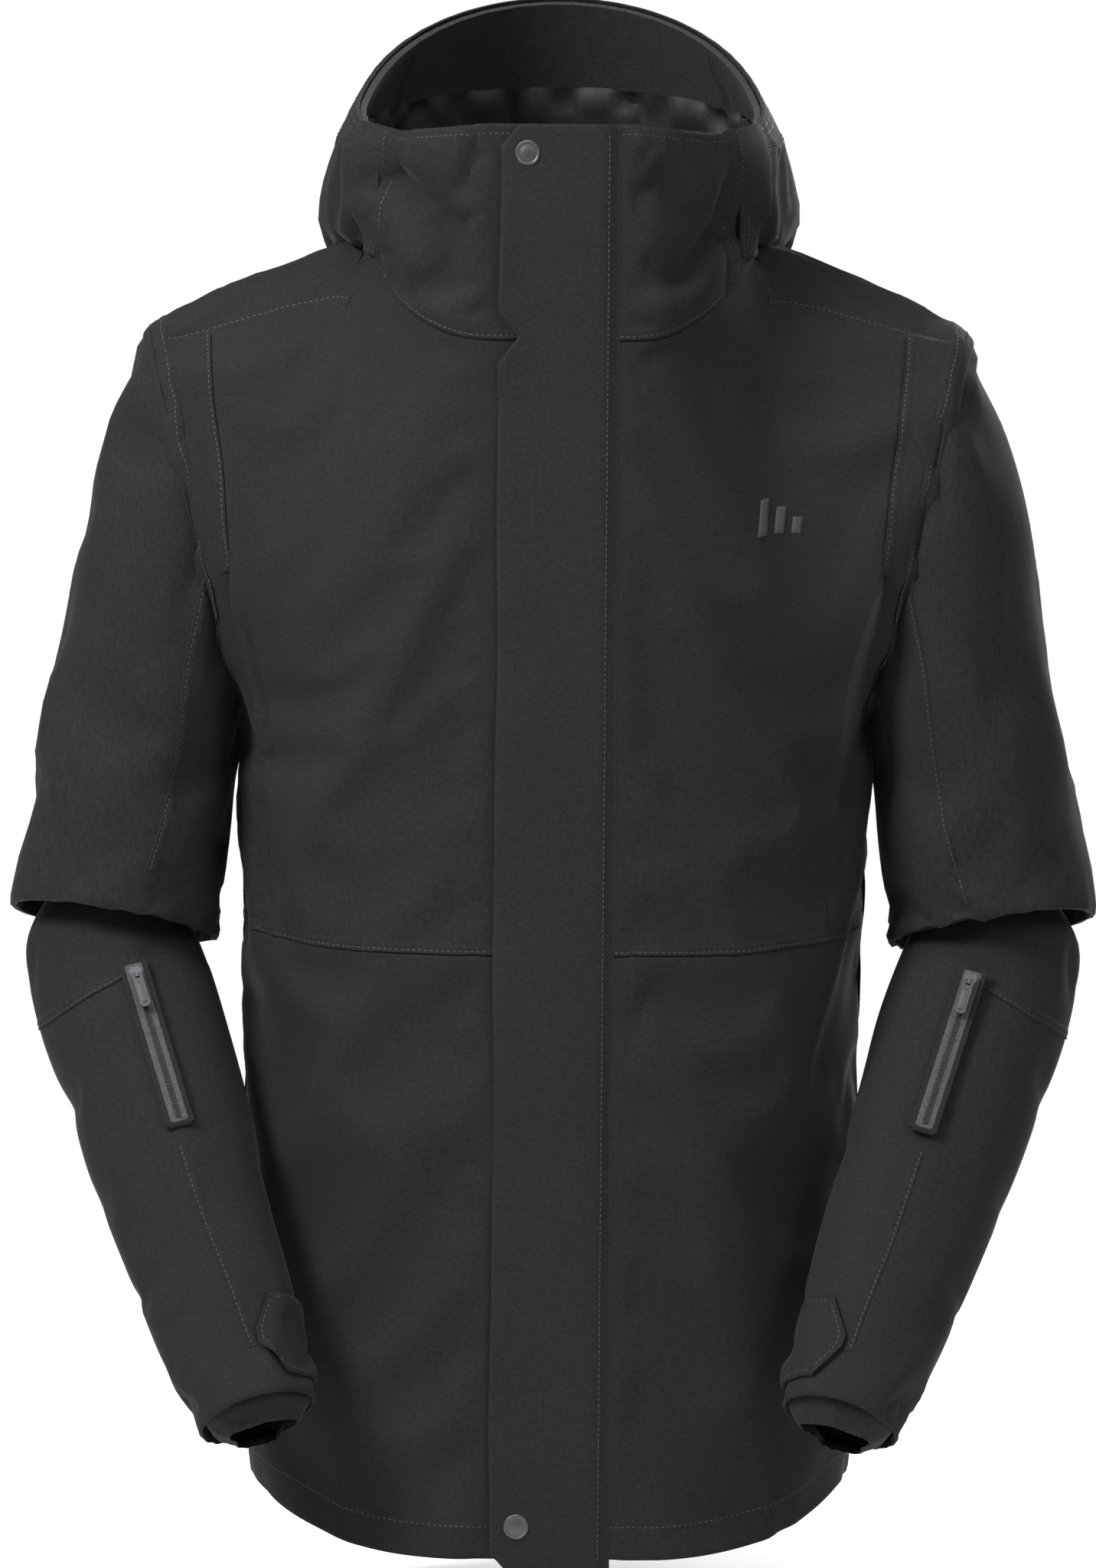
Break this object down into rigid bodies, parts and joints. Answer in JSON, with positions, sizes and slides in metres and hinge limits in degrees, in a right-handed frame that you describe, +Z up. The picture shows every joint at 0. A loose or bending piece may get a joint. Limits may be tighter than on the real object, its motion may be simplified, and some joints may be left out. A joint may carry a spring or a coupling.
{
  "type": "ski jacket",
  "caption": "Hooded padded ski jacket with storm flap over a front zip, hinged sleeves, forearm zip pockets, cuff tabs and a powder skirt.",
  "frame": {"origin": "middle of the hanger loop at the back of the neck, where the jacket hangs", "axes": "+Z up, -Y the front of the jacket, +X the wearer's left"},
  "size_m": [0.658, 0.4491, 0.9503],
  "materials": {
    "outer_fabric": "matte plain weave",
    "flap_fabric": "matte plain weave",
    "lining_fabric": "satin nylon",
    "zip_tape": "woven tape",
    "zip_coil": "satin nylon coil",
    "moulded_rubber": "matte",
    "webbing": "woven webbing",
    "snap_metal": "dark gunmetal"
  },
  "bodies": {
    "shell": {"back_lining": "lining_fabric", "chest_L": "outer_fabric", "chest_R": "outer_fabric", "chest_mark": "moulded_rubber", "collar_L": "outer_fabric", "collar_R": "outer_fabric", "facing_L": "outer_fabric", "facing_R": "outer_fabric", "front_lining_L": "lining_fabric", "front_lining_R": "lining_fabric", "hanger_loop": "webbing", "lower_back": "outer_fabric", "lower_front_L": "outer_fabric", "lower_front_R": "outer_fabric", "pocket_lip_L": "outer_fabric", "pocket_lip_R": "outer_fabric", "powder_skirt": "lining_fabric", "side_front_L": "outer_fabric", "side_front_R": "outer_fabric", "skirt_elastic": "webbing", "skirt_snap": "snap_metal", "snap_stud_bottom": "snap_metal", "snap_stud_top": "snap_metal", "upper_back": "outer_fabric", "wind_flap": "lining_fabric", "yoke_L": "outer_fabric", "yoke_R": "outer_fabric", "zip_coil": "zip_coil", "zip_tape_L": "zip_tape", "zip_tape_R": "zip_tape"},
    "storm_flap": {"storm_flap": "flap_fabric", "collar_tab": "flap_fabric", "snap_cap_top": "snap_metal", "snap_cap_bottom": "snap_metal", "snap_socket_top": "snap_metal", "snap_socket_bottom": "snap_metal"},
    "main_zip_slider": {"main_slider": "snap_metal", "main_puller": "moulded_rubber"},
    "hood": {"hood_brim": "outer_fabric", "hood_centre": "outer_fabric", "hood_facing": "outer_fabric", "hood_lining": "lining_fabric", "hood_side_L": "outer_fabric", "hood_side_R": "outer_fabric"},
    "sleeve_upper_L": {"upper_sleeve_L": "outer_fabric"},
    "forearm_L": {"forearm_L": "outer_fabric", "wrist_gaiter_L": "lining_fabric", "pocket_tape_L": "zip_tape", "pocket_coil_L": "zip_coil"},
    "cuff_tab_L": {"cuff_tab_L": "outer_fabric"},
    "pocket_slider_L": {"pocket_slider_L": "snap_metal"},
    "pocket_puller_L": {"pocket_puller_L": "moulded_rubber"},
    "sleeve_upper_R": {"upper_sleeve_R": "outer_fabric"},
    "forearm_R": {"forearm_R": "outer_fabric", "wrist_gaiter_R": "lining_fabric", "pocket_tape_R": "zip_tape", "pocket_coil_R": "zip_coil"},
    "cuff_tab_R": {"cuff_tab_R": "outer_fabric"},
    "pocket_slider_R": {"pocket_slider_R": "snap_metal"},
    "pocket_puller_R": {"pocket_puller_R": "moulded_rubber"}
  },
  "joints": [
    {"name": "storm_flap_hinge", "type": "hinge", "parent": "shell", "child": "storm_flap", "pos_m": [0.036, -0.19519, 0.00023], "axis": [0, 0.0357, 0.9994], "range_deg": [0, 150]},
    {"name": "main_zip_slide", "type": "slide", "parent": "shell", "child": "main_zip_slider", "axis": [0, -0.0357, -0.9994], "range_m": [0, 0.81]},
    {"name": "hood_fold", "type": "hinge", "parent": "shell", "child": "hood", "pos_m": [0, -0.129, -0.006], "axis": [1, 0, 0], "range_deg": [0, 60]},
    {"name": "shoulder_L", "type": "hinge", "parent": "shell", "child": "sleeve_upper_L", "pos_m": [0.25, -0.075, -0.0445], "axis": [0, -1, 0], "range_deg": [0, 40]},
    {"name": "elbow_L", "type": "hinge", "parent": "sleeve_upper_L", "child": "forearm_L", "pos_m": [0.272, -0.095, -0.43], "axis": [-1, 0, 0], "range_deg": [0, 45]},
    {"name": "cuff_tab_L_hinge", "type": "hinge", "parent": "forearm_L", "child": "cuff_tab_L", "pos_m": [0.14772, -0.22777, -0.65681], "axis": [-0.2074, -0.491, -0.8461], "range_deg": [0, 60]},
    {"name": "pocket_zip_L_slide", "type": "slide", "parent": "forearm_L", "child": "pocket_slider_L", "axis": [-0.2957, -0.4693, -0.832], "range_m": [0, 0.083]},
    {"name": "pocket_puller_L_hinge", "type": "hinge", "parent": "pocket_slider_L", "child": "pocket_puller_L", "pos_m": [0.26246, -0.1506, -0.41726], "axis": [-0.955, 0.1671, 0.2452], "range_deg": [0, 125]},
    {"name": "shoulder_R", "type": "hinge", "parent": "shell", "child": "sleeve_upper_R", "pos_m": [-0.25, -0.075, -0.0445], "axis": [0, 1, 0], "range_deg": [0, 40]},
    {"name": "elbow_R", "type": "hinge", "parent": "sleeve_upper_R", "child": "forearm_R", "pos_m": [-0.272, -0.095, -0.43], "axis": [-1, 0, 0], "range_deg": [0, 45]},
    {"name": "cuff_tab_R_hinge", "type": "hinge", "parent": "forearm_R", "child": "cuff_tab_R", "pos_m": [-0.14772, -0.22777, -0.65681], "axis": [-0.2074, 0.491, 0.8461], "range_deg": [0, 60]},
    {"name": "pocket_zip_R_slide", "type": "slide", "parent": "forearm_R", "child": "pocket_slider_R", "axis": [0.2957, -0.4693, -0.832], "range_m": [0, 0.083]},
    {"name": "pocket_puller_R_hinge", "type": "hinge", "parent": "pocket_slider_R", "child": "pocket_puller_R", "pos_m": [-0.26246, -0.1506, -0.41726], "axis": [-0.955, -0.1671, -0.2452], "range_deg": [0, 125]}
  ]
}
